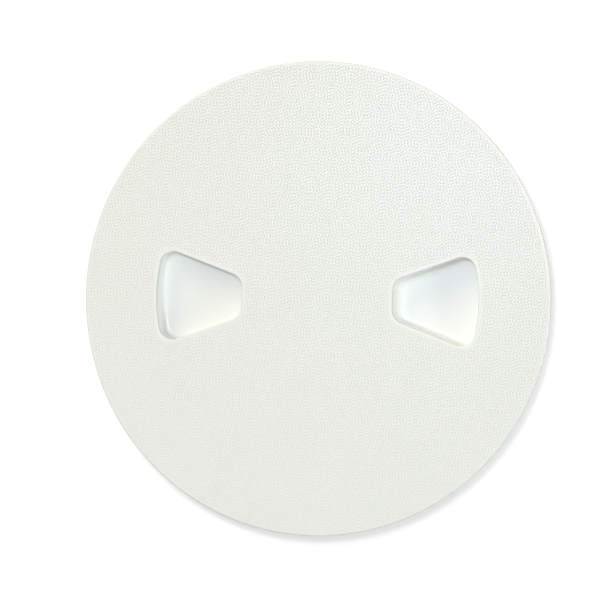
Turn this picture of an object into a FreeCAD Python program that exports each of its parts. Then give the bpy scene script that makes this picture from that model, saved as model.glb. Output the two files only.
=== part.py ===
import FreeCAD, Part
import math
import os

import Sketcher
from FreeCAD import Vector

# Screw-out deck inspection plate, in millimetres. The origin is on the deck, at the middle of the
# opening: the base ring's flange lies on Z = 0, its collar hangs through the deck and the cover
# closes it from above. The two finger pockets lie along X.

SIZES = [
    ("cover_diameter", 203.0, "outside of the cover's disc"),
    ("border_width", 25.3, "from the bore's clear edge out to the cover's edge"),
    ("clear_opening", "=cover_diameter - 2 * border_width", "bore left free inside the thread"),
    ("cover_height", 7.7, "top of the cover above the deck"),
    ("cover_plate", 3.2, "thickness of the cover's disc"),
    ("cover_edge_chamfer", 0.8, "chamfer of the cover's top edge"),
    ("skirt_wall", 2.5, "wall of the skirt round the cover"),
    ("skirt_above_deck", 0.6, "gap under the skirt"),
    ("skirt_gap", 0.7, "gap between the flange and the skirt"),
    ("spigot_depth", 11.5, "how far the threaded spigot reaches below the deck"),
    ("spigot_wall", 2.6, "wall of the spigot"),
    ("spigot_taper", 0.4, "moulding taper of the spigot's inner wall"),
    ("pocket_depth", 12.0, "depth of a finger pocket"),
    ("pocket_inset", 2.9, "from the spigot's inner wall to the pocket's outer wall"),
    ("pocket_outer_radius", "=clear_opening / 2 - thread_clearance - spigot_wall - pocket_inset",
     "arc of the pocket's outer wall, about the middle of the cover"),
    ("pocket_inner_edge", 32.9, "flat inner wall of the pocket, from the middle of the cover"),
    ("pocket_side_angle", 20.0, "slant of each side wall, in degrees"),
    ("pocket_side_meet", 10.1, "where the two side walls would meet, from the middle of the cover"),
    ("pocket_corner_round", 6.0, "rounding of the pocket's four corners"),
    ("pocket_floor_chamfer", 1.8, "slope between the pocket's walls and its floor"),
    ("pocket_lip_chamfer", 1.2, "chamfer of the pocket's rim"),
    ("pocket_wall", 2.2, "wall of the pocket under the disc"),
    ("pocket_box_corner", 8.0, "rounding of the inner corners of the pocket's box"),
    ("pocket_box_chamfer", 1.5, "chamfer round the bottom of the pocket's box"),
    ("rib_radius", 24.0, "middle of the round rib under the disc"),
    ("rib_width", 2.0, "thickness of the ribs"),
    ("rib_depth", 6.0, "how far the ribs stand out of the disc"),
    ("rib_count", 6, "number of radial ribs"),
    ("thread_lead", 5.0, "rise of the thread in one turn"),
    ("thread_height", 2.0, "how far a ridge stands out of its wall"),
    ("thread_root_width", 2.7, "width of a ridge at its wall"),
    ("thread_flank_slope", 0.3, "how much a flank leans for each millimetre of its height"),
    ("thread_clearance", 0.4, "gap between a ridge and the facing wall"),
    ("thread_side_gap", 0.3, "gap between the flanks that bear"),
    ("thread_sink", 0.4, "how far a ridge's root reaches into its wall"),
    ("thread_end_margin", 0.3, "wall left below the spigot's ridge"),
    ("cover_thread_turns", 1.75, "turns of the cover's ridge"),
    ("base_thread_turns", 1.3, "turns of the base ring's ridge"),
    ("flange_thickness", 4.0, "thickness of the base ring's flange"),
    ("flange_edge_chamfer", 0.8, "chamfer of the flange's edge"),
    ("collar_depth", 16.0, "how far the collar reaches below the deck"),
    ("collar_wall", 3.8, "wall of the collar"),
    ("collar_edge_chamfer", 0.8, "chamfer of the collar's lower outer edge"),
    ("screw_inset", 8.3, "from the flange's edge to the middle of a screw hole"),
    ("screw_circle", "=cover_diameter - 2 * (skirt_wall + skirt_gap + screw_inset)",
     "diameter of the circle of screw holes"),
    ("screw_count", 6, "number of screw holes"),
    ("screw_hole", 4.5, "diameter of a screw hole"),
    ("screw_head", 8.6, "diameter of a countersink"),
    ("screw_head_angle", 90.0, "angle of a countersink, in degrees"),
    ("seal_section", 3.4, "width and thickness of the square-cut rubber ring"),
    ("seal_clearance", 0.2, "gap above and below the rubber ring, before the last turn"),
    ("seal_stretch_gap", 0.15, "gap between the rubber ring and the spigot"),
    ("seat_width", 1.8, "ledge that the rubber ring lies on, outside the bore"),
    ("seat_chamfer", 0.6, "lead-in at the mouth of the rubber ring's seat"),
]

doc = FreeCAD.newDocument("DeckInspectionPlate")
sheet = doc.addObject("Spreadsheet::Sheet", "Sizes")
for row, (alias, size, meaning) in enumerate(SIZES, start=1):
    sheet.set(f"A{row}", meaning)
    sheet.setAlias(f"B{row}", alias)
for row, (alias, size, meaning) in enumerate(SIZES, start=1):
    sheet.set(f"B{row}", str(size))
doc.recompute()

# Places that more than one piece or feature follows.
plate_underside = "(Sizes.cover_height - Sizes.cover_plate)"
cover_radius = "(Sizes.cover_diameter / 2)"
skirt_inner_radius = f"({cover_radius} - Sizes.skirt_wall)"
flange_radius = f"({skirt_inner_radius} - Sizes.skirt_gap)"
base_crest_radius = "(Sizes.clear_opening / 2)"
bore_radius = f"({base_crest_radius} + Sizes.thread_height)"
spigot_radius = f"({base_crest_radius} - Sizes.thread_clearance)"
spigot_inner_radius = f"({spigot_radius} - Sizes.spigot_wall)"
collar_radius = f"({bore_radius} + Sizes.collar_wall)"
seat_radius = f"({bore_radius} + Sizes.seat_width)"
seat_floor = f"({plate_underside} - Sizes.seal_section - 2 * Sizes.seal_clearance)"
seal_inner_radius = f"({spigot_radius} + Sizes.seal_stretch_gap)"
seal_bottom = f"({seat_floor} + Sizes.seal_clearance)"
pocket_floor = "(Sizes.cover_height - Sizes.pocket_depth)"
pocket_box_bottom = f"({pocket_floor} - Sizes.pocket_wall)"
spigot_wall_middle = f"({spigot_inner_radius} + Sizes.spigot_wall / 2)"
root_half_width = "(Sizes.thread_root_width / 2)"
cover_ridge_start = f"(Sizes.thread_end_margin + {root_half_width} - Sizes.spigot_depth)"
ridge_offset = ("(Sizes.thread_side_gap + Sizes.thread_root_width"
                " - Sizes.thread_flank_slope * (Sizes.thread_height + Sizes.thread_clearance))")
base_ridge_start = f"({cover_ridge_start} + {ridge_offset})"


def measure(expression):
    """The present value of an expression on the sheet's sizes, as a plain number."""
    found = sheet.evalExpression(expression)
    return float(getattr(found, "Value", found))


def origin_feature(body, role):
    """One of the body's own origin planes or axes."""
    return next(item for item in body.Origin.OriginFeatures if item.Role == role)


def new_body(name):
    body = doc.addObject("PartDesign::Body", name)
    body.Label = name
    return body


def new_sketch(body, name, plane="XY_Plane", lift=None):
    """A sketch on one of the body's origin planes, lifted off it by an expression."""
    sketch = body.newObject("Sketcher::SketchObject", name)
    sketch.AttachmentSupport = [(origin_feature(body, plane), "")]
    sketch.MapMode = "FlatFace"
    if lift:
        sketch.setExpression("AttachmentOffset.Base.z", lift)
    return sketch


def drive(sketch, kind, *where, size, name):
    """Adds a dimension to the sketch and ties it to an expression."""
    index = sketch.addConstraint(Sketcher.Constraint(kind, *where, measure(size)))
    sketch.renameConstraint(index, name)
    sketch.setExpression(f"Constraints.{name}", size)


def place_point(sketch, edge, end, across, up, name):
    """Ties one end of an edge to a place, measured from the sketch's origin."""
    drive(sketch, "DistanceX", -1, 1, edge, end, size=across, name=f"{name}_across")
    drive(sketch, "DistanceY", -1, 1, edge, end, size=up, name=f"{name}_up")


def section(body, name, corners):
    """A closed outline of straight lines in the XZ plane, with each corner tied to the sheet."""
    sketch = new_sketch(body, name, plane="XZ_Plane")
    places = [Vector(measure(across), measure(up), 0) for across, up in corners]
    for index, place in enumerate(places):
        following = places[(index + 1) % len(places)]
        sketch.addGeometry(Part.LineSegment(place, following), False)
    for index in range(len(places)):
        sketch.addConstraint(Sketcher.Constraint("Coincident", index, 2, (index + 1) % len(places), 1))
    for index, (across, up) in enumerate(corners):
        place_point(sketch, index, 1, across, up, f"corner{index}")
    return sketch


def revolve(body, name, sketch):
    turned = body.newObject("PartDesign::Revolution", name)
    turned.Profile = sketch
    turned.ReferenceAxis = (sketch, ["V_Axis"])
    turned.Angle = 360.0
    return turned


def polar_pattern(body, name, originals, count):
    """Repeats features evenly about the vertical axis."""
    pattern = body.newObject("PartDesign::PolarPattern", name)
    pattern.Originals = originals
    pattern.Axis = (origin_feature(body, "Z_Axis"), [""])
    pattern.Angle = 360.0
    pattern.setExpression("Occurrences", count)
    body.Tip = pattern
    doc.recompute()
    return pattern


def edges_where(feature, belongs):
    """Names of the feature's edges whose bounding box passes a test."""
    edges = feature.Shape.Edges
    return [f"Edge{number}" for number, edge in enumerate(edges, start=1) if belongs(edge.BoundBox)]


def dress(body, kind, name, belongs, size):
    """A fillet or a chamfer on the edges of the body's tip that pass a test."""
    base = body.Tip
    edges = edges_where(base, belongs)
    if not edges:
        raise RuntimeError(f"{name} found no edge")
    feature = body.newObject(f"PartDesign::{kind}", name)
    feature.Base = (base, edges)
    feature.setExpression("Radius" if kind == "Fillet" else "Size", size)
    doc.recompute()
    return feature


near_enough = 0.02


def near(first, second):
    return abs(first - second) < near_enough


def level_ring(radius, height):
    """Test for a full circle about the vertical axis, at one radius and height."""
    radius, height = measure(radius), measure(height)

    def belongs(box):
        flat = near(box.ZMin, height) and near(box.ZMax, height)
        return flat and near(box.XMax, radius) and near(box.XMin, -radius)

    return belongs


def at_pockets(low, high, reach="Sizes.pocket_outer_radius"):
    """Test for the pockets' edges between two heights, clear of the YZ plane and within a reach."""
    low, high = measure(low), measure(high)
    reach = measure(reach) + near_enough

    def belongs(box):
        apart = box.XMin > 0 or box.XMax < 0
        within = max(abs(box.XMin), abs(box.XMax)) < reach
        return apart and within and near(box.ZMin, low) and near(box.ZMax, high)

    return belongs


def pocket_outline(body, name, lift, outer_radius, margin):
    """The pocket's outline seen from above, grown by a margin on its three straight sides.

    The outer side is an arc about the middle of the cover, the inner side is flat, and the two
    side walls lean towards each other and would meet on the X axis.
    """
    sketch = new_sketch(body, name, lift=lift)
    angle = math.radians(measure("Sizes.pocket_side_angle"))
    sine = math.sin(angle)
    meet = f"(Sizes.pocket_side_meet - {margin} / sin(Sizes.pocket_side_angle * 1deg))"
    inner = f"(Sizes.pocket_inner_edge - {margin})"
    meet_x, inner_x, radius = measure(meet), measure(inner), measure(outer_radius)

    # The side line runs from the meeting point to the arc.
    reach = math.sqrt(radius ** 2 - (meet_x * sine) ** 2) - meet_x * math.cos(angle)
    outer_corner = Vector(meet_x + reach * math.cos(angle), reach * sine, 0)
    inner_corner = Vector(inner_x, (inner_x - meet_x) * math.tan(angle), 0)
    mirrored = [Vector(corner.x, -corner.y, 0) for corner in (outer_corner, inner_corner)]
    sweep = math.atan2(outer_corner.y, outer_corner.x)

    circle = Part.Circle(Vector(), Vector(0, 0, 1), radius)
    arc = sketch.addGeometry(Part.ArcOfCircle(circle, -sweep, sweep), False)
    upper = sketch.addGeometry(Part.LineSegment(outer_corner, inner_corner), False)
    flat = sketch.addGeometry(Part.LineSegment(inner_corner, mirrored[1]), False)
    lower = sketch.addGeometry(Part.LineSegment(mirrored[1], mirrored[0]), False)
    point = sketch.addGeometry(Part.Point(Vector(meet_x, 0, 0)), True)
    sketch.addConstraint([
        Sketcher.Constraint("Coincident", arc, 2, upper, 1),
        Sketcher.Constraint("Coincident", upper, 2, flat, 1),
        Sketcher.Constraint("Coincident", flat, 2, lower, 1),
        Sketcher.Constraint("Coincident", lower, 2, arc, 1),
        Sketcher.Constraint("Coincident", arc, 3, -1, 1),
        Sketcher.Constraint("Symmetric", upper, 2, lower, 1, -1),
        Sketcher.Constraint("PointOnObject", point, 1, -1),
        Sketcher.Constraint("PointOnObject", point, 1, upper),
        Sketcher.Constraint("PointOnObject", point, 1, lower),
    ])
    drive(sketch, "Radius", arc, size=outer_radius, name="outer_radius")
    drive(sketch, "DistanceX", -1, 1, flat, 1, size=inner, name="inner_edge")
    drive(sketch, "DistanceX", -1, 1, point, 1, size=meet, name="side_meet")
    return sketch


def ridge(body, name, wall_radius, outward, start, turns):
    """A helical thread ridge: a trapezoid carried up round the axis, rooted in a round wall."""
    side = 1 if outward else -1
    sunk = f"({wall_radius} - {side} * Sizes.thread_sink)"
    crest = f"({wall_radius} + {side} * Sizes.thread_height)"
    sunk_half = f"({root_half_width} + Sizes.thread_flank_slope * Sizes.thread_sink)"
    crest_half = f"({root_half_width} - Sizes.thread_flank_slope * Sizes.thread_height)"
    profile = section(body, f"{name}_section", [
        (sunk, f"{start} - {sunk_half}"),
        (crest, f"{start} - {crest_half}"),
        (crest, f"{start} + {crest_half}"),
        (sunk, f"{start} + {sunk_half}"),
    ])
    helix = body.newObject("PartDesign::AdditiveHelix", name)
    helix.Profile = profile
    helix.ReferenceAxis = (profile, ["V_Axis"])
    helix.Mode = "pitch-turns-angle"
    helix.setExpression("Pitch", "Sizes.thread_lead")
    helix.setExpression("Turns", turns)
    doc.recompute()
    return helix


def add_disc_and_spigot(body):
    """The cover's disc with its skirt, its round rib and its threaded spigot, in one revolution."""
    rib_bottom = f"({plate_underside} - Sizes.rib_depth)"
    profile = section(body, "cover_section", [
        ("0", "Sizes.cover_height"),
        (cover_radius, "Sizes.cover_height"),
        (cover_radius, "Sizes.skirt_above_deck"),
        (skirt_inner_radius, "Sizes.skirt_above_deck"),
        (skirt_inner_radius, plate_underside),
        (spigot_radius, plate_underside),
        (spigot_radius, "-Sizes.spigot_depth"),
        (f"{spigot_inner_radius} + Sizes.spigot_taper", "-Sizes.spigot_depth"),
        (spigot_inner_radius, plate_underside),
        ("Sizes.rib_radius + Sizes.rib_width / 2", plate_underside),
        ("Sizes.rib_radius + Sizes.rib_width / 2", rib_bottom),
        ("Sizes.rib_radius - Sizes.rib_width / 2", rib_bottom),
        ("Sizes.rib_radius - Sizes.rib_width / 2", plate_underside),
        ("0", plate_underside),
    ])
    revolve(body, "disc_and_spigot", profile)
    doc.recompute()


def add_radial_ribs(body):
    """Ribs from the round rib to the spigot, spaced so that they pass beside the pockets."""
    sketch = new_sketch(body, "rib_outline", lift=plate_underside)
    half = "(Sizes.rib_width / 2)"
    near_end = "Sizes.rib_radius"
    corners = [
        (f"-{half}", near_end),
        (half, near_end),
        (half, spigot_wall_middle),
        (f"-{half}", spigot_wall_middle),
    ]
    places = [Vector(measure(across), measure(up), 0) for across, up in corners]
    for index, place in enumerate(places):
        sketch.addGeometry(Part.LineSegment(place, places[(index + 1) % len(places)]), False)
    for index in range(len(places)):
        sketch.addConstraint(Sketcher.Constraint("Coincident", index, 2, (index + 1) % len(places), 1))
    for index, (across, up) in enumerate(corners):
        place_point(sketch, index, 1, across, up, f"corner{index}")
    rib = body.newObject("PartDesign::Pad", "radial_rib")
    rib.Profile = sketch
    rib.Reversed = True
    rib.setExpression("Length", "Sizes.rib_depth")
    doc.recompute()
    polar_pattern(body, "radial_ribs", [rib], "Sizes.rib_count")


def add_pocket_boxes(body):
    """The walls of the two finger pockets under the disc, grown into the spigot at their far end."""
    outline = pocket_outline(body, "pocket_box_outline", plate_underside, spigot_wall_middle,
                             "Sizes.pocket_wall")
    box = body.newObject("PartDesign::Pad", "pocket_box")
    box.Profile = outline
    box.Reversed = True
    box.setExpression("Length", f"{plate_underside} - {pocket_box_bottom}")
    doc.recompute()
    polar_pattern(body, "pocket_boxes", [box], "2")
    dress(body, "Fillet", "pocket_box_corners",
          at_pockets(pocket_box_bottom, plate_underside, "Sizes.pocket_inner_edge"),
          "Sizes.pocket_box_corner")
    dress(body, "Chamfer", "pocket_box_bottoms",
          at_pockets(pocket_box_bottom, pocket_box_bottom, spigot_inner_radius),
          "Sizes.pocket_box_chamfer")


def add_pocket_hollows(body):
    """The two finger pockets, with rounded corners and a chamfered floor and rim."""
    outline = pocket_outline(body, "pocket_outline", "Sizes.cover_height",
                             "Sizes.pocket_outer_radius", "0")
    hollow = body.newObject("PartDesign::Pocket", "pocket")
    hollow.Profile = outline
    hollow.setExpression("Length", "Sizes.pocket_depth")
    doc.recompute()
    polar_pattern(body, "pockets", [hollow], "2")
    dress(body, "Fillet", "pocket_corners", at_pockets(pocket_floor, "Sizes.cover_height"),
          "Sizes.pocket_corner_round")
    dress(body, "Chamfer", "pocket_floors", at_pockets(pocket_floor, pocket_floor),
          "Sizes.pocket_floor_chamfer")
    dress(body, "Chamfer", "pocket_lips", at_pockets("Sizes.cover_height", "Sizes.cover_height"),
          "Sizes.pocket_lip_chamfer")


def make_cover():
    """The screw-out cover, one moulding."""
    body = new_body("cover")
    add_disc_and_spigot(body)
    add_radial_ribs(body)
    add_pocket_boxes(body)
    add_pocket_hollows(body)
    dress(body, "Chamfer", "top_edge", level_ring(cover_radius, "Sizes.cover_height"),
          "Sizes.cover_edge_chamfer")
    ridge(body, "cover_thread", spigot_radius, True, cover_ridge_start, "Sizes.cover_thread_turns")
    return body


def make_seal_ring():
    """The square-cut rubber ring, stretched over the spigot under the disc."""
    body = new_body("seal_ring")
    profile = section(body, "seal_section", [
        (seal_inner_radius, seal_bottom),
        (f"{seal_inner_radius} + Sizes.seal_section", seal_bottom),
        (f"{seal_inner_radius} + Sizes.seal_section", f"{seal_bottom} + Sizes.seal_section"),
        (seal_inner_radius, f"{seal_bottom} + Sizes.seal_section"),
    ])
    revolve(body, "rubber_ring", profile)
    doc.recompute()
    return body


def add_screw_holes(body):
    """Countersunk screw holes through the flange, under the cover's edge."""
    sketch = new_sketch(body, "screw_place", lift="Sizes.flange_thickness")
    radius = measure("Sizes.screw_hole / 2")
    place = Vector(measure("Sizes.screw_circle / 2"), 0, 0)
    sketch.addGeometry(Part.Circle(place, Vector(0, 0, 1), radius), False)
    sketch.addConstraint(Sketcher.Constraint("PointOnObject", 0, 3, -1))
    drive(sketch, "DistanceX", -1, 1, 0, 3, size="Sizes.screw_circle / 2", name="circle_radius")
    drive(sketch, "Radius", 0, size="Sizes.screw_hole / 2", name="hole_radius")
    doc.recompute()
    hole = body.newObject("PartDesign::Hole", "screw_hole")
    hole.Profile = sketch
    doc.recompute()
    hole.DepthType = "ThroughAll"
    hole.HoleCutType = "Countersink"
    hole.HoleCutCustomValues = True
    hole.setExpression("Diameter", "Sizes.screw_hole")
    hole.setExpression("HoleCutDiameter", "Sizes.screw_head")
    hole.setExpression("HoleCutCountersinkAngle", "Sizes.screw_head_angle")
    doc.recompute()
    polar_pattern(body, "screw_holes", [hole], "Sizes.screw_count")


def make_base_ring():
    """The base ring, one moulding: a flange on the deck and a threaded collar through it."""
    body = new_body("base_ring")
    profile = section(body, "base_section", [
        (bore_radius, "-Sizes.collar_depth"),
        (bore_radius, seat_floor),
        (seat_radius, seat_floor),
        (seat_radius, "Sizes.flange_thickness"),
        (flange_radius, "Sizes.flange_thickness"),
        (flange_radius, "0"),
        (collar_radius, "0"),
        (collar_radius, "-Sizes.collar_depth"),
    ])
    revolve(body, "flange_and_collar", profile)
    doc.recompute()
    add_screw_holes(body)
    dress(body, "Chamfer", "flange_edge", level_ring(flange_radius, "Sizes.flange_thickness"),
          "Sizes.flange_edge_chamfer")
    dress(body, "Chamfer", "seat_mouth", level_ring(seat_radius, "Sizes.flange_thickness"),
          "Sizes.seat_chamfer")
    dress(body, "Chamfer", "collar_foot", level_ring(collar_radius, "-Sizes.collar_depth"),
          "Sizes.collar_edge_chamfer")
    ridge(body, "base_thread", bore_radius, False, base_ridge_start, "Sizes.base_thread_turns")
    return body


pieces = [make_base_ring(), make_seal_ring(), make_cover()]
doc.recompute()

for item in doc.Objects:
    if "Invalid" in item.State or "Error" in item.State:
        raise RuntimeError(f"{item.Name} did not build: {item.State}")

os.makedirs("parts", exist_ok=True)
for piece in pieces:
    shape = piece.Shape
    if shape.isNull() or not shape.isValid() or len(shape.Solids) != 1:
        raise RuntimeError(f"{piece.Label} is not one sound solid")
    shape.exportStep(f"parts/{piece.Label}.step")
    box = shape.BoundBox
    print(piece.Label, "volume", round(shape.Volume), "height", round(box.ZMin, 3), round(box.ZMax, 3))
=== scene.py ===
import math

import bpy
import numpy as np
from mathutils import Matrix, Vector
from mathutils.geometry import delaunay_2d_cdt


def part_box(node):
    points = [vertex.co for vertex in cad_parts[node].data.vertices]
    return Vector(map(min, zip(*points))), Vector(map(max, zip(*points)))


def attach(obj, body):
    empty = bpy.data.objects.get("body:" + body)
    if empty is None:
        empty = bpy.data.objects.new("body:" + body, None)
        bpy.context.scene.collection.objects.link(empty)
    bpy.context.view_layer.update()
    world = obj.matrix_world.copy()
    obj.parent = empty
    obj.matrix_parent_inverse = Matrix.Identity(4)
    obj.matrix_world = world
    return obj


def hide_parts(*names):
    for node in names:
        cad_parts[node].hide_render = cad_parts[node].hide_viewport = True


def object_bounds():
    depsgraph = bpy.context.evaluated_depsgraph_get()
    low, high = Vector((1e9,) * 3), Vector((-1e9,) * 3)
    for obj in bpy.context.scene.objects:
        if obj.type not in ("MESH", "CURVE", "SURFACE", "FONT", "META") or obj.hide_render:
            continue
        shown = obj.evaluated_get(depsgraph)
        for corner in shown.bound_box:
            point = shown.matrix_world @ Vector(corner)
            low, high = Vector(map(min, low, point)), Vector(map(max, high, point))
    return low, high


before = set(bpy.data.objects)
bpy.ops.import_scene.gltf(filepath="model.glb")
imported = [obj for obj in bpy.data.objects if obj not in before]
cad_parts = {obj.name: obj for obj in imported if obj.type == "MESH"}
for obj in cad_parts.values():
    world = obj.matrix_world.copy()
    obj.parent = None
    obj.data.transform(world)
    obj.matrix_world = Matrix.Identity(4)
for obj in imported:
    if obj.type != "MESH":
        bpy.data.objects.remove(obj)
cad_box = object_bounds()


# Base ring: one off-white moulding, a flange that is screwed to the deck and a threaded collar that
# hangs through it. It keeps its frame shape and gets a satin moulded skin.
base_colour = (0.87, 0.875, 0.845)
base_roughness = 0.34
skin_ior = 1.49
flow_scale = 22.0
tint_waver = 0.015
gloss_waver = 0.15
ripple_scale = 260.0
ripple_depth = 0.000006


def plastic_skin(name, colour, roughness):
    """A moulded material whose colour, gloss and surface waver a little, as flow marks do."""
    skin = bpy.data.materials.new(name)
    skin.use_nodes = True
    nodes, links = skin.node_tree.nodes, skin.node_tree.links
    shader = nodes["Principled BSDF"]
    shader.inputs["IOR"].default_value = skin_ior
    place = nodes.new("ShaderNodeTexCoord").outputs["Object"]

    flow = nodes.new("ShaderNodeTexNoise")
    flow.inputs["Scale"].default_value = flow_scale
    flow.inputs["Detail"].default_value = 3.0
    links.new(place, flow.inputs["Vector"])
    tint = nodes.new("ShaderNodeMix")
    tint.data_type = "RGBA"
    tint.inputs["A"].default_value = (*[(1.0 - tint_waver) * part for part in colour], 1.0)
    tint.inputs["B"].default_value = (*[(1.0 + tint_waver) * part for part in colour], 1.0)
    links.new(flow.outputs["Fac"], tint.inputs["Factor"])
    links.new(tint.outputs["Result"], shader.inputs["Base Color"])

    gloss = nodes.new("ShaderNodeMapRange")
    gloss.inputs["To Min"].default_value = (1.0 - gloss_waver) * roughness
    gloss.inputs["To Max"].default_value = (1.0 + gloss_waver) * roughness
    links.new(flow.outputs["Fac"], gloss.inputs["Value"])
    links.new(gloss.outputs["Result"], shader.inputs["Roughness"])

    ripple = nodes.new("ShaderNodeTexNoise")
    ripple.inputs["Scale"].default_value = ripple_scale
    ripple.inputs["Detail"].default_value = 2.0
    links.new(place, ripple.inputs["Vector"])
    bump = nodes.new("ShaderNodeBump")
    bump.inputs["Strength"].default_value = 1.0
    bump.inputs["Distance"].default_value = ripple_depth
    links.new(ripple.outputs["Fac"], bump.inputs["Height"])
    links.new(bump.outputs["Normal"], shader.inputs["Normal"])
    return skin


def dress(node, skin):
    """Put a material on one of the frame's own pieces."""
    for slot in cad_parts[node].material_slots:
        slot.material = skin


dress("base_ring", plastic_skin("base_plastic_skin", base_colour, base_roughness))


# Rubber ring: square-cut black rubber, stretched over the spigot under the disc and wiped with
# grease, so it is dark and half glossy. It keeps its frame shape.
rubber_colour = (0.022, 0.022, 0.024)
rubber_roughness = 0.45

dress("seal_ring", plastic_skin("seal_rubber_skin", rubber_colour, rubber_roughness))


# Finger pockets of the cover: two round-cornered recesses with polished walls, which the fingers
# press against to turn the plate. The moulding has a soft lip, slightly tapered walls and a
# rounded floor. All the cover's sizes are in millimetres.
millimetre = 0.001
millimetres_in_metre = 1000.0
_, cover_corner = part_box("cover")
cover_radius = cover_corner[0] * millimetres_in_metre
cover_top = cover_corner[2] * millimetres_in_metre
pocket_depth = 12.0
pocket_arc = 70.3
pocket_inner_end = 32.9
pocket_side_lean = math.radians(20.0)
pocket_sides_meet = 10.1
pocket_corner = 6.0
pocket_lip = 0.5
pocket_lip_drop = 0.5
pocket_border = 0.7
pocket_floor_round = 1.6
pocket_taper = math.radians(1.5)
# The darker cream line at the top of each pocket's wall is painted shade; it fades this far down
# the wall and up the lip.
edge_shade_fade_down = 2.2
edge_shade_fade_up = 0.3125
outline_step = 0.6
corner_step = 0.36
lip_points = 10
wall_points = 7
floor_round_points = 12
floor_shrinks = (0.12, 0.3, 0.5, 0.7, 0.88)


def arc_of_circle(centre, radius, start, end, step):
    """Points and outward directions along an arc: centre plus radius times the unit direction."""
    count = max(2, int(math.ceil(abs(end - start) * radius / step)))
    angle = np.linspace(start, end, count, endpoint=False)
    out = np.stack([np.cos(angle), np.sin(angle)], axis=1)
    return np.asarray(centre) + radius * out, out


def straight_run(start, end, out_angle, step):
    """Points from start towards end, all with the same outward direction."""
    start, end = np.asarray(start), np.asarray(end)
    count = max(2, int(math.ceil(np.linalg.norm(end - start) / step)))
    share = np.linspace(0.0, 1.0, count, endpoint=False)[:, None]
    out = np.tile([math.cos(out_angle), math.sin(out_angle)], (count, 1))
    return start + share * (end - start), out


def pocket_outline():
    """The pocket's wall seen from above, anticlockwise, with the outward direction at each point.

    The outer end is an arc about the middle of the cover. The corner circles touch it, the two
    side lines through the meeting point and the flat inner end, so each corner's centre lies one
    corner radius inside both of its neighbours.
    """
    lean, corner = pocket_side_lean, pocket_corner
    along = np.array([math.cos(lean), math.sin(lean)])
    aside = math.pi / 2 + lean
    out = np.array([math.cos(aside), math.sin(aside)])
    meet = np.array([pocket_sides_meet, 0.0])
    base = meet - corner * out
    reach = pocket_arc - corner
    run = -base @ along + math.sqrt((base @ along) ** 2 - base @ base + reach ** 2)
    outer = base + run * along
    inner_x = pocket_inner_end + corner
    inner = np.array([inner_x, (math.sin(lean) * (inner_x - meet[0]) - corner) / math.cos(lean)])
    end_high, end_low = (pocket_inner_end, inner[1]), (pocket_inner_end, -inner[1])
    swing = math.atan2(outer[1], outer[0])
    around = 2 * math.pi
    mirror = np.array([1.0, -1.0])
    outer_side, inner_side = outer + corner * out, inner + corner * out
    parts = [
        arc_of_circle((0.0, 0.0), pocket_arc, -swing, swing, outline_step),
        arc_of_circle(outer, corner, swing, aside, corner_step),
        straight_run(outer_side, inner_side, aside, outline_step),
        arc_of_circle(inner, corner, aside, math.pi, corner_step),
        straight_run(end_high, end_low, math.pi, outline_step),
        arc_of_circle(inner * mirror, corner, math.pi, around - aside, corner_step),
        straight_run(inner_side * mirror, outer_side * mirror, -aside, outline_step),
        arc_of_circle(outer * mirror, corner, around - aside, around - swing, corner_step),
    ]
    return np.concatenate([p for p, _ in parts]), np.concatenate([o for _, o in parts])


def pocket_profile():
    """Offset from the wall, height and shade of the line, from the lip down the wall to the floor.

    The lip is a quarter of an ellipse outside the wall, wide and shallow. The wall leans in by the
    taper, and the floor round is a quarter circle inside it. The line is painted shade in a darker
    cream, strongest where the wall starts, and it fades both ways.
    """
    floor = cover_top - pocket_depth
    lip = np.linspace(0.0, math.pi / 2, lip_points)
    lip_across = pocket_lip * (1.0 - np.sin(lip))
    lip_up = cover_top - pocket_lip_drop * (1.0 - np.cos(lip))
    foot_up = floor + pocket_floor_round * (1.0 - math.sin(pocket_taper))
    foot_across = -math.tan(pocket_taper) * (lip_up[-1] - foot_up)
    share = np.linspace(0.0, 1.0, wall_points)[1:-1]
    wall_across = share * foot_across
    wall_up = lip_up[-1] + share * (foot_up - lip_up[-1])
    turn = np.linspace(-pocket_taper, -math.pi / 2, floor_round_points)
    round_across = foot_across + pocket_floor_round * (np.cos(turn) - math.cos(pocket_taper))
    round_up = floor + pocket_floor_round * (1.0 + np.sin(turn))
    across = np.concatenate([lip_across, wall_across, round_across])
    up = np.concatenate([lip_up, wall_up, round_up])
    below, above = (lip_up[-1] - up) / edge_shade_fade_down, (up - lip_up[-1]) / edge_shade_fade_up
    return across, up, np.clip(1.0 - np.maximum(below, above), 0.0, 1.0)


def ring_triangles(rings, around):
    """Triangles between rings of points that each have the same number of points, closed around."""
    ring, step = np.meshgrid(np.arange(rings - 1), np.arange(around), indexing="ij")
    here, following = ring * around + step, ring * around + (step + 1) % around
    quads = np.stack([here, here + around, following + around, following], axis=-1).reshape(-1, 4)
    return np.concatenate([quads[:, [0, 1, 2]], quads[:, [0, 2, 3]]])


def pocket_surface(side):
    """The pocket's skin: the profile carried round the outline, then rings shrinking to the middle.

    side is 1 for the pocket at +X and -1 for its twin, which is turned by half a turn. Returns
    points in millimetres, triangles, the shade of the line at each point and the lip's loop.
    """
    wall, out = pocket_outline()
    across, up, line = pocket_profile()
    skin = np.concatenate([
        wall[None] + across[:, None, None] * out[None],
        np.broadcast_to(up[:, None, None], (len(up), len(wall), 1)),
    ], axis=2)
    middle = np.append(skin[-1, :, :2].mean(axis=0), skin[-1, 0, 2])
    shrink = np.array(floor_shrinks)[:, None, None]
    rings = np.concatenate([skin, skin[-1][None] * (1.0 - shrink) + middle * shrink])
    points = np.concatenate([rings.reshape(-1, 3), middle[None]])
    points[:, :2] *= side
    last = (len(rings) - 1) * len(wall) + np.arange(len(wall))
    fan = np.stack([last, np.full(len(wall), len(points) - 1), np.roll(last, -1)], axis=1)
    triangles = np.concatenate([ring_triangles(len(rings), len(wall)), fan])[:, ::-1]
    shade = np.zeros(len(points))
    shade[:len(line) * len(wall)] = np.repeat(line, len(wall))
    return points, triangles, shade, points[:len(wall), :2]


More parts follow.
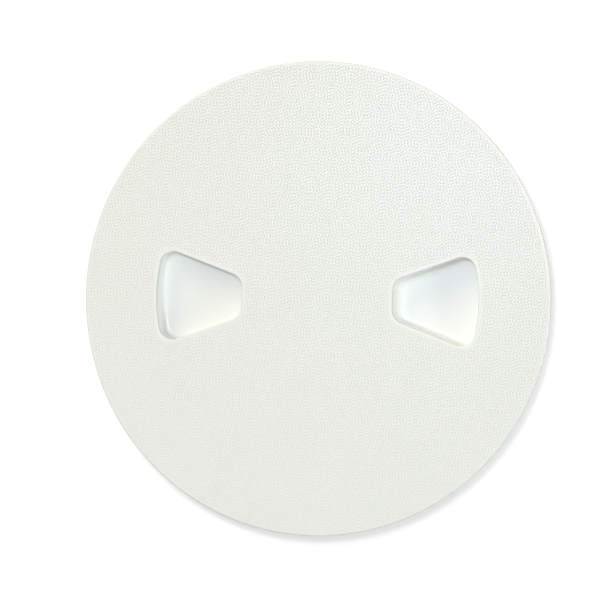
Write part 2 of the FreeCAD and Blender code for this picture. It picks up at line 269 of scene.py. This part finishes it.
# The cover's top face: a flat disc whose off-white plastic is moulded with a fine pebble grain, as
# non-slip decks are. The grain stops short of the rim and of the pockets' polished lips.
rim_round = 0.7
rim_steps = 720
pebble_pitch = 2.2
pebble_spread = 0.25
pebble_waves = 20
pebble_relief = 0.025
grain_fade = 0.6
heading_step, length_step, phase_step = 0.618034, 0.754878, 2.39996
lattice_step = 0.72
seam_gap = 0.55 * lattice_step
lip_search = (pocket_inner_end - 8.0, 30.0)
points_at_once = 4000
same_point = 1e-7


def grain_waves(pitch, spread, count):
    """Plane waves whose sum winds like a moulded grain: turns along X, turns along Y and phase.

    The headings and the wavelengths step by two different shares that never repeat, so that the
    waves spread evenly over half a turn and over the band round the pitch.
    """
    number = np.arange(count)
    heading = math.pi * (number * heading_step % 1.0)
    length = pitch * (1.0 + spread * (2.0 * (number * length_step % 1.0) - 1.0))
    turns = 2.0 * math.pi / length
    phase = phase_step * number ** 2
    return np.stack([turns * np.cos(heading), turns * np.sin(heading), phase], axis=1)


def pebble_height(x, y):
    """Relief of the pebbles, about -1 to 1: a sum of plane waves, softly limited at both ends."""
    total = np.zeros_like(x)
    for along_x, along_y, phase in grain_waves(pebble_pitch, pebble_spread, pebble_waves):
        total += np.cos(along_x * x + along_y * y + phase)
    return np.tanh(total * math.sqrt(2.0 / pebble_waves))


def triangle_lattice(radius, step):
    """Points of a lattice of equal triangles inside a circle."""
    rows = np.arange(-radius, radius, step * math.sqrt(3.0) / 2.0)
    columns = np.arange(-radius, radius, step)
    x, y = np.meshgrid(columns, rows)
    x = x + (np.arange(len(rows)) % 2)[:, None] * step / 2.0
    points = np.stack([x.ravel(), y.ravel()], axis=1)
    return points[np.hypot(points[:, 0], points[:, 1]) < radius]


def distance_to_loop(points, loop):
    """Distance from each point to the nearest point of a closed loop."""
    nearest = np.full(len(points), np.inf)
    for start in range(0, len(points), points_at_once):
        block = points[start:start + points_at_once, None] - loop[None]
        gaps = np.hypot(block[..., 0], block[..., 1])
        nearest[start:start + points_at_once] = gaps.min(axis=1)
    return nearest


def inside_pocket(points, side):
    """True for points inside the pocket's lip: tested against its arc, its end and its sides."""
    x, y = points[:, 0] * side, points[:, 1] * side
    lean, grow = pocket_side_lean, pocket_lip
    slant = np.abs(y) * math.cos(lean) - (x - pocket_sides_meet) * math.sin(lean)
    within = (x > pocket_inner_end - grow) & (np.hypot(x, y) < pocket_arc + grow)
    return within & (slant < grow)


def joined_flat(flat, loop_lengths):
    """Triangles that join flat points by Delaunay's rule, as indices into the points.

    The closed loops come first among the points, with the given lengths, and keep their edges.
    """
    seams, start = [], 0
    for length in loop_lengths:
        number = np.arange(length)
        seams.append(np.stack([number, np.roll(number, -1)], axis=1) + start)
        start += length
    seams = np.concatenate(seams).tolist()
    joined = delaunay_2d_cdt(flat.tolist(), seams, [], 0, same_point, False)
    return np.array(joined[2], dtype=np.int64)


def pebbled_top(rim_loop, lip_loops):
    """The grained disc between the rim and the lips: lattice points joined to the loops' points.

    Returns points in millimetres with the loops first, triangles and each point's share of grain.
    """
    lattice = triangle_lattice(cover_radius - rim_round, lattice_step)
    edge_gap = cover_radius - rim_round - np.hypot(lattice[:, 0], lattice[:, 1])
    border_gap = edge_gap
    for side, loop in zip((1, -1), lip_loops):
        close = (lattice[:, 0] * side > lip_search[0]) & (np.abs(lattice[:, 1]) < lip_search[1])
        gap = np.full(len(lattice), np.inf)
        gap[close] = distance_to_loop(lattice[close], loop)
        gap[inside_pocket(lattice, side)] = 0.0
        edge_gap = np.minimum(edge_gap, gap)
        border_gap = np.minimum(border_gap, gap - pocket_border)
    keep = edge_gap > seam_gap
    lattice, border_gap = lattice[keep], border_gap[keep]

    loops = [rim_loop] + list(lip_loops)
    flat = np.concatenate(loops + [lattice])
    triangles = joined_flat(flat, [len(loop) for loop in loops])

    # A triangle with all its corners on one lip spans that pocket's mouth, so it goes.
    first = len(rim_loop)
    for loop in lip_loops:
        on_lip = (triangles >= first) & (triangles < first + len(loop))
        triangles = triangles[~on_lip.all(axis=1)]
        first += len(loop)

    share = np.zeros(len(flat))
    share[first:] = np.clip(border_gap / grain_fade, 0.0, 1.0)
    share = share * share * (3.0 - 2.0 * share)
    sunk = 0.5 * pebble_relief * (1.0 - pebble_height(flat[:, 0], flat[:, 1]))
    up = cover_top - sunk * share
    return np.column_stack([flat, up]), triangles, share


# The cover's rim: the polished outer edge, rounded at the top, which runs down as the skirt that
# hides the base ring. It is the same moulding as the top face, drawn in a little below its edge.
rim_edge = 2.2
rim_edge_band = 0.3
rim_round_points = 9
# The rim's line is painted shade: a darker cream colour laid along the edge under the round.
rim_painted_shade = 0.65
rim_painted_shade_foot = 3.5
skirt_draft = math.radians(13.0)
skirt_points = 5


def rim_surface(skirt_end):
    """The rim's profile turned about the vertical axis: a quarter circle, a short upright edge, and
    a straight line that leans in by the draft down to the skirt's end.

    Ring 0 is the edge of the grained disc and the last ring is the foot of the skirt. Returns
    points in millimetres, triangles and the shade of the line, a painted shade in darker cream
    along the rim's edge, strongest under the round.
    """
    turn = np.linspace(math.pi / 2, 0.0, rim_round_points)
    across = cover_radius - rim_round + rim_round * np.cos(turn)
    up = cover_top - rim_round + rim_round * np.sin(turn)
    edge_foot = cover_top - rim_edge
    skirt = np.linspace(edge_foot, skirt_end, skirt_points)[1:]
    lower = np.concatenate([[edge_foot + rim_edge_band, edge_foot], skirt])
    leaning_in = math.tan(skirt_draft) * (edge_foot - np.minimum(lower, edge_foot))
    across, up = np.append(across, cover_radius - leaning_in), np.append(up, lower)
    angle = 2.0 * math.pi * np.arange(rim_steps) / rim_steps
    rings = np.stack([
        across[:, None] * np.cos(angle)[None],
        across[:, None] * np.sin(angle)[None],
        np.broadcast_to(up[:, None], (len(up), rim_steps)),
    ], axis=2)
    depth = np.repeat(cover_top - up, rim_steps)
    line = np.minimum(depth / rim_round, 2.0 * (1.0 - depth / rim_painted_shade_foot))
    shade = rim_painted_shade * np.clip(line, 0.0, 1.0)
    return rings.reshape(-1, 3), ring_triangles(len(rings), rim_steps), shade


# The cover's underside: the plain back of the same moulding, with its ribs, the walls of the two
# pockets and the threaded spigot that screws into the base ring. Its shape is the frame's own.
weld_decimals = 3
rim_reach = 2.0
foot_reach = 3.5
foot_slack = 0.2
top_reach = 1.5
pocket_slack = 0.5
faces_out, faces_down, faces_up = 0.5, -0.9, 0.3
foot_flatness = 0.01
foot_ring_width = 0.05
least_length, least_radius = 1e-12, 1e-6


def merged_copy(node):
    """A frame node's points in millimetres and its triangles, with equal points merged."""
    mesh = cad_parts[node].data
    mesh.calc_loop_triangles()
    points = np.empty(len(mesh.vertices) * 3)
    mesh.vertices.foreach_get("co", points)
    points = points.reshape(-1, 3) * millimetres_in_metre
    triangles = np.empty(len(mesh.loop_triangles) * 3, dtype=np.int32)
    mesh.loop_triangles.foreach_get("vertices", triangles)
    keys = np.round(points, weld_decimals)
    _, first, where = np.unique(keys, axis=0, return_index=True, return_inverse=True)
    triangles = where.ravel()[triangles].reshape(-1, 3)
    sound = (triangles[:, 0] != triangles[:, 1]) & (triangles[:, 1] != triangles[:, 2])
    sound &= triangles[:, 0] != triangles[:, 2]
    return points[first], triangles[sound]


def underside_faces():
    """The frame's cover without its top face, rim, pockets and the flat foot of its skirt.

    Faces are told apart by where they lie and which way they look. Returns points in millimetres,
    triangles and the height of the skirt's foot.
    """
    points, triangles = merged_copy("cover")
    corners = points[triangles]
    middle = corners.mean(axis=1)
    normal = np.cross(corners[:, 1] - corners[:, 0], corners[:, 2] - corners[:, 0])
    normal /= np.linalg.norm(normal, axis=1)[:, None] + least_length
    radius = np.hypot(middle[:, 0], middle[:, 1])
    outward = (normal[:, :2] * middle[:, :2]).sum(axis=1) / np.maximum(radius, least_radius)
    rim = (radius > cover_radius - rim_reach) & (outward > faces_out)
    foot = (radius > cover_radius - foot_reach) & (normal[:, 2] < faces_down)
    foot_height = corners[foot][:, :, 2].min()
    foot &= np.abs(middle[:, 2] - foot_height) < foot_slack
    in_pocket = inside_pocket(middle[:, :2], 1) | inside_pocket(middle[:, :2], -1)
    in_pocket &= middle[:, 2] > cover_top - pocket_depth - pocket_slack
    pocket_wall = np.zeros(len(middle), dtype=bool)
    for side in (1, -1):
        hub = np.array([side * 0.5 * (pocket_inner_end + pocket_arc), 0.0])
        looks_in = ((hub - middle[:, :2]) * normal[:, :2]).sum(axis=1) > 0.0
        pocket_wall |= in_pocket & looks_in & (middle[:, 0] * side > 0.0)
    top = (normal[:, 2] > faces_up) & ((middle[:, 2] > cover_top - top_reach) | in_pocket)
    return points, triangles[~(rim | foot | top | pocket_wall)], foot_height


under_points, under_triangles, skirt_foot_height = underside_faces()


def skirt_foot(outer_loop):
    """The foot of the skirt: a level band between the rim's last ring and the skirt's inside."""
    radius = np.hypot(under_points[:, 0], under_points[:, 1])
    used = np.zeros(len(under_points), dtype=bool)
    used[under_triangles.ravel()] = True
    on_foot = used & (np.abs(under_points[:, 2] - skirt_foot_height) < foot_flatness)
    on_foot &= np.abs(radius - radius[on_foot].max()) < foot_ring_width
    inner = under_points[on_foot]
    inner = inner[np.argsort(np.arctan2(inner[:, 1], inner[:, 0]))]
    points = np.concatenate([outer_loop, inner])
    triangles = joined_flat(points[:, :2], (len(outer_loop), len(inner)))
    across_hole = (triangles >= len(outer_loop)).all(axis=1)
    return points, triangles[~across_hole]


# The cover is put together as one closed moulding: grained top, rim, foot, underside and pockets
# share the points along their seams. It is marked where the grain, the painted shade along the lips
# and the rim, and sunlight are.
sun_depth = 3.0
crisp_angle = math.radians(32.0)


def turned_to_look(points, triangles, up):
    """The triangles turned so that they all look up, or all look down."""
    a, b, c = (points[triangles[:, corner], :2] for corner in range(3))
    turn = (b[:, 0] - a[:, 0]) * (c[:, 1] - a[:, 1]) - (b[:, 1] - a[:, 1]) * (c[:, 0] - a[:, 0])
    wrong = turn < 0.0 if up else turn > 0.0
    triangles[wrong] = triangles[wrong][:, ::-1]
    return triangles


def closed_skin(parts):
    """One set of points and triangles from several parts, with equal points merged.

    Unused points are left out. Also returns which of the parts' points were kept.
    """
    points = np.concatenate([part[0] for part in parts])
    triangles, start = [], 0
    for part in parts:
        triangles.append(part[1] + start)
        start += len(part[0])
    keys = np.round(points, weld_decimals) + 0.0
    _, first, where = np.unique(keys, axis=0, return_index=True, return_inverse=True)
    merged = where.ravel()[np.concatenate(triangles)]
    used, triangles = np.unique(merged, return_inverse=True)
    return points[first[used]], triangles.reshape(-1, 3), first[used]


def piece_from(name, points, triangles, material):
    """A smooth-shaded mesh object from points in millimetres, with its sharp edges left crisp."""
    mesh = bpy.data.meshes.new(name)
    mesh.vertices.add(len(points))
    mesh.vertices.foreach_set("co", (points * millimetre).astype(np.float32).ravel())
    mesh.loops.add(triangles.size)
    mesh.loops.foreach_set("vertex_index", triangles.astype(np.int32).ravel())
    mesh.polygons.add(len(triangles))
    mesh.polygons.foreach_set("loop_start", np.arange(0, triangles.size, 3, dtype=np.int32))
    mesh.update(calc_edges=True)
    mesh.validate()
    mesh.polygons.foreach_set("use_smooth", np.ones(len(mesh.polygons), dtype=bool))
    mesh.set_sharp_from_angle(angle=crisp_angle)
    mesh.materials.append(material)
    piece = bpy.data.objects.new(name, mesh)
    bpy.context.scene.collection.objects.link(piece)
    return piece


rim_points, rim_triangles, rim_shade = rim_surface(skirt_foot_height)
pockets = [pocket_surface(side) for side in (1, -1)]
top_points, top_triangles, top_grain = pebbled_top(
    rim_points[:rim_steps, :2], [lip_loop for _, _, _, lip_loop in pockets])
foot_points, foot_triangles = skirt_foot(rim_points[-rim_steps:])
parts = [
    (top_points, turned_to_look(top_points, top_triangles, True), top_grain, 0.0),
    (rim_points, rim_triangles, 0.0, rim_shade),
    (foot_points, turned_to_look(foot_points, foot_triangles, False), 0.0, 0.0),
    (under_points, under_triangles, 0.0, 0.0),
]
parts += [(points, triangles, 0.0, shade) for points, triangles, shade, _ in pockets]
cover_points, cover_triangles, kept = closed_skin(parts)
grain, line = (
    np.concatenate([np.broadcast_to(part[column], len(part[0])) for part in parts])[kept]
    for column in (2, 3))
sun = np.clip(1.0 - (cover_top - cover_points[:, 2]) / sun_depth, 0.0, 1.0)
cover_marks = {"grain_share": grain, "painted_edge_shade_share": line, "sun_share": sun}


# The cover's skin: glossy off-white plastic. The mould's fine grain leaves flat glossy ridges round
# short winding pits. The pits are darker, partly by a little dust and partly by painted shade, and
# more so towards +Y and a little +X, where this stands in for the sheen's contrast; the ridges get
# a painted highlight that grows the same way. Rim, lips and pockets are polished. What the sun
# reaches has yellowed. The darker cream line along the lips and the rim is painted shade.
cover_colour = (0.887, 0.898, 0.857)
cover_roughness = 0.18
sun_tint = (0.995, 0.99, 0.948, 1.0)
# Colour of the painted shade along the pockets' lips and the rim's edge.
painted_edge_shade_colour = (0.62, 0.60, 0.49, 1.0)
grain_pitch = 1.17
grain_spread = 0.29
grain_count = 30
grain_depth = 0.000015
pit_edge = 0.6
pit_floor = -0.7
grain_roughness, pit_roughness = 0.04, 0.3
ridge_shine, pit_shine_loss = 0.5, 0.45
# Painted highlight on the ridges, and dust with painted shade in the pits, both growing towards +Y
# and a little +X.
ridge_painted_highlight = 0.21
pit_dust_and_shade_in_middle = 0.19
dust_and_sheen_per_metre = (0.22, 0.80, 0.0)


def maths(skin, operation, first, second=0.0):
    """One maths node on sockets or plain numbers, and its output."""
    node = skin.node_tree.nodes.new("ShaderNodeMath")
    node.operation = operation
    for place, given in enumerate((first, second)):
        if isinstance(given, bpy.types.NodeSocket):
            skin.node_tree.links.new(given, node.inputs[place])
        else:
            node.inputs[place].default_value = given
    return node.outputs["Value"]


def vector_maths(skin, operation, given, name, value):
    """One vector-maths node on a socket, with one more input by its name or place."""
    node = skin.node_tree.nodes.new("ShaderNodeVectorMath")
    node.operation = operation
    skin.node_tree.links.new(given, node.inputs[0])
    if isinstance(value, bpy.types.NodeSocket):
        skin.node_tree.links.new(value, node.inputs[name])
    else:
        node.inputs[name].default_value = value
    return node


def mark(skin, name):
    """The value of one of the mesh's marks."""
    node = skin.node_tree.nodes.new("ShaderNodeAttribute")
    node.attribute_name = name
    return node.outputs["Fac"]


def coloured(skin, blend, share, under, colour):
    """A colour with a plain colour blended over it by a share."""
    node = skin.node_tree.nodes.new("ShaderNodeMix")
    node.data_type = "RGBA"
    node.blend_type = blend
    node.inputs["B"].default_value = colour
    skin.node_tree.links.new(share, node.inputs["Factor"])
    skin.node_tree.links.new(under, node.inputs["A"])
    return node.outputs["Result"]


cover_skin = plastic_skin("cover_plastic_skin", cover_colour, cover_roughness)
nodes, links = cover_skin.node_tree.nodes, cover_skin.node_tree.links
shader = nodes["Principled BSDF"]
place = nodes.new("ShaderNodeTexCoord").outputs["Object"]
waves = 0.0
for along_x, along_y, phase in grain_waves(grain_pitch * millimetre, grain_spread, grain_count):
    across = vector_maths(cover_skin, "DOT_PRODUCT", place, 1, (along_x, along_y, 0.0))
    wave = maths(cover_skin, "ADD", across.outputs["Value"], phase)
    waves = maths(cover_skin, "ADD", maths(cover_skin, "COSINE", wave), waves)
pit = nodes.new("ShaderNodeMapRange")
pit.interpolation_type = "SMOOTHSTEP"
pit.inputs["From Min"].default_value = pit_edge * math.sqrt(grain_count / 2.0)
pit.inputs["From Max"].default_value = pit_floor * math.sqrt(grain_count / 2.0)
links.new(waves, pit.inputs["Value"])
grained = mark(cover_skin, "grain_share")
pitted = maths(cover_skin, "MULTIPLY", pit.outputs["Result"], grained)

relief = nodes.new("ShaderNodeBump")
relief.invert = True
relief.inputs["Strength"].default_value = 1.0
relief.inputs["Distance"].default_value = grain_depth
links.new(pitted, relief.inputs["Height"])
links.new(shader.inputs["Normal"].links[0].from_socket, relief.inputs["Normal"])
links.new(relief.outputs["Normal"], shader.inputs["Normal"])

rough = maths(cover_skin, "ADD", maths(cover_skin, "MULTIPLY", grained, grain_roughness),
              maths(cover_skin, "MULTIPLY", pitted, pit_roughness))
rough = maths(cover_skin, "ADD", shader.inputs["Roughness"].links[0].from_socket, rough)
links.new(rough, shader.inputs["Roughness"])
shine_loss = maths(cover_skin, "MULTIPLY", pitted, pit_shine_loss)
shine = maths(cover_skin, "SUBTRACT", ridge_shine, shine_loss)
links.new(shine, shader.inputs["Specular IOR Level"])

# Pits darkened by dust and painted shade, ridges brightened as a painted highlight, more towards +Y
# and +X where the sheen lies.
dust_and_sheen_lean = vector_maths(cover_skin, "DOT_PRODUCT", place, 1, dust_and_sheen_per_metre)
dust_and_sheen = maths(cover_skin, "ADD", dust_and_sheen_lean.outputs["Value"], pit_dust_and_shade_in_middle)
ridge_highlight = maths(cover_skin, "MULTIPLY", grained, ridge_painted_highlight)
dust_and_shade = maths(cover_skin, "MULTIPLY", maths(cover_skin, "SUBTRACT", pitted, ridge_highlight), dust_and_sheen)
grain_tone = maths(cover_skin, "SUBTRACT", 1.0, dust_and_shade)
plain = shader.inputs["Base Color"].links[0].from_socket
colour = vector_maths(cover_skin, "SCALE", plain, "Scale", grain_tone).outputs["Vector"]
colour = coloured(cover_skin, "MULTIPLY", mark(cover_skin, "sun_share"), colour, sun_tint)
# Painted shade: a darker cream line along the pockets' lips and the rim's edge.
colour = coloured(cover_skin, "MIX", mark(cover_skin, "painted_edge_shade_share"), colour, painted_edge_shade_colour)
links.new(colour, shader.inputs["Base Color"])

cover = piece_from("cover_moulding", cover_points, cover_triangles, cover_skin)
for name, values in cover_marks.items():
    layer = cover.data.attributes.new(name, "FLOAT", "POINT")
    layer.data.foreach_set("value", values.astype(np.float32))
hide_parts("cover")
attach(cover, "lid")


# Floor: plain white paper just under the collar. The light that it gives off to the camera brings
# it up to white, more so far from the plate, and its own shading keeps the plate's soft shadow.
floor_half = 3.0
floor_gap = 0.0001
floor_height = cad_box[0].z - floor_gap
paper_colour = (0.85, 0.82, 0.79, 1.0)
paper_lift = 0.40
lift_grows_from = 0.25
lift_full_at = 0.7


def seen_directly(tree):
    """1 for rays from the camera, from gloss and through glass, 0 for rays that light things."""
    rays = tree.nodes.new("ShaderNodeLightPath")
    highest = rays.outputs["Is Camera Ray"]
    for kind in ("Is Glossy Ray", "Is Transmission Ray"):
        either = tree.nodes.new("ShaderNodeMath")
        either.operation = "MAXIMUM"
        tree.links.new(highest, either.inputs[0])
        tree.links.new(rays.outputs[kind], either.inputs[1])
        highest = either.outputs["Value"]
    return highest


floor_mesh = bpy.data.meshes.new("floor")
floor_corners = [(side * floor_half, end * floor_half, floor_height)
                 for side, end in ((-1, -1), (1, -1), (1, 1), (-1, 1))]
floor_mesh.from_pydata(floor_corners, [], [(0, 1, 2, 3)])
floor = bpy.data.objects.new("floor", floor_mesh)
bpy.context.scene.collection.objects.link(floor)
floor_skin = bpy.data.materials.new("floor_skin")
floor_skin.use_nodes = True
nodes, links = floor_skin.node_tree.nodes, floor_skin.node_tree.links
nodes.remove(nodes["Principled BSDF"])
paper = nodes.new("ShaderNodeBsdfDiffuse")
paper.inputs["Color"].default_value = paper_colour
from_middle = nodes.new("ShaderNodeVectorMath")
from_middle.operation = "LENGTH"
links.new(nodes.new("ShaderNodeTexCoord").outputs["Object"], from_middle.inputs[0])
glow = nodes.new("ShaderNodeMapRange")
glow.inputs["From Min"].default_value = lift_grows_from
glow.inputs["From Max"].default_value = lift_full_at
glow.inputs["To Min"].default_value = paper_lift
glow.inputs["To Max"].default_value = 1.0
links.new(from_middle.outputs["Value"], glow.inputs["Value"])
lift = nodes.new("ShaderNodeEmission")
seen = seen_directly(floor_skin.node_tree)
links.new(maths(floor_skin, "MULTIPLY", seen, glow.outputs["Result"]), lift.inputs["Strength"])
both = nodes.new("ShaderNodeAddShader")
links.new(paper.outputs["BSDF"], both.inputs[0])
links.new(lift.outputs["Emission"], both.inputs[1])
links.new(both.outputs["Shader"], nodes["Material Output"].inputs["Surface"])
floor_mesh.materials.append(floor_skin)


# Light: a white room seen by the camera and by the gloss, a weaker even light on the plate, a high
# lamp, one whose sheen lies on the upper right, a large warm window low at the top left, and a low
# lamp at the right that reaches the pockets' left walls. Their levels add up to about 1.
room_level = 0.295
room_colour = (0.87, 0.95, 1.09, 1.0)
room_seen = (1.0, 1.0, 1.0, 1.0)
world = bpy.data.worlds.new("room")
world.use_nodes = True
bpy.context.scene.world = world
background = world.node_tree.nodes["Background"]
room = world.node_tree.nodes.new("ShaderNodeMix")
room.data_type = "RGBA"
room.inputs["A"].default_value = tuple(room_level * part for part in room_colour)
room.inputs["B"].default_value = room_seen
world.node_tree.links.new(seen_directly(world.node_tree), room.inputs["Factor"])
world.node_tree.links.new(room.outputs["Result"], background.inputs["Color"])


def soft_lamp(name, lean, distance, size, level, colour):
    """A square lamp that faces the plate, leaning off the vertical along X and Y.

    level is how bright it makes a level white surface at the origin, where 1 is white: the power is
    level times pi squared times the distance squared, over the cosine of the lean.
    """
    way = Vector((lean[0], lean[1], 1.0)).normalized()
    data = bpy.data.lights.new(name, "AREA")
    data.shape = "SQUARE"
    data.size = size
    data.energy = level * math.pi ** 2 * distance ** 2 / way.z
    data.color = colour
    lamp = bpy.data.objects.new(name, data)
    lamp.location = way * distance
    lamp.rotation_mode = "QUATERNION"
    lamp.rotation_quaternion = way.to_track_quat("Z", "Y")
    lamp.visible_camera = False
    bpy.context.scene.collection.objects.link(lamp)


soft_lamp("high_lamp", lean=(0.15, 0.10), distance=2.0, size=0.22, level=0.30,
          colour=(1.0, 0.985, 0.96))
soft_lamp("sheen_lamp", lean=(-0.0975, 0.13), distance=0.71, size=0.14, level=0.125,
          colour=(0.64, 0.76, 1.0))
soft_lamp("low_window", lean=(-0.8, 1.0), distance=1.6, size=0.8, level=0.23,
          colour=(1.0, 0.86, 0.64))
soft_lamp("side_lamp", lean=(2.2, -0.5), distance=1.5, size=0.40, level=0.115,
          colour=(0.93, 0.97, 1.0))


# Camera: a long lens high over the plate, leaning a little towards +X, with the plate just right of
# the middle of a 600 pixel square picture.
picture_side = 600.0
focal_pixels = 7010.0
camera_distance = 3.0
camera_lean = (0.2092, 0.0117)
camera_roll = 0.0201
plate_shift = (20.13, -1.5)
camera_data = bpy.data.cameras.new("camera")
camera_data.sensor_width = 36.0
camera_data.lens = camera_data.sensor_width * focal_pixels / picture_side
camera_data.clip_start = 0.1
camera_data.clip_end = 20.0
camera = bpy.data.objects.new("camera", camera_data)
bpy.context.scene.collection.objects.link(camera)
back = Vector((*camera_lean, math.sqrt(1.0 - camera_lean[0] ** 2 - camera_lean[1] ** 2)))
level_right = Vector((0.0, 1.0, 0.0)).cross(back).normalized()
level_up = back.cross(level_right)
right = math.cos(camera_roll) * level_right + math.sin(camera_roll) * level_up
up = back.cross(right)
aim = (up * plate_shift[1] - right * plate_shift[0]) * (camera_distance / focal_pixels)
turn = Matrix((right, up, back)).transposed().to_4x4()
camera.matrix_world = Matrix.Translation(aim + back * camera_distance) @ turn
bpy.context.scene.camera = camera
bpy.context.scene.view_settings.view_transform = "Standard"
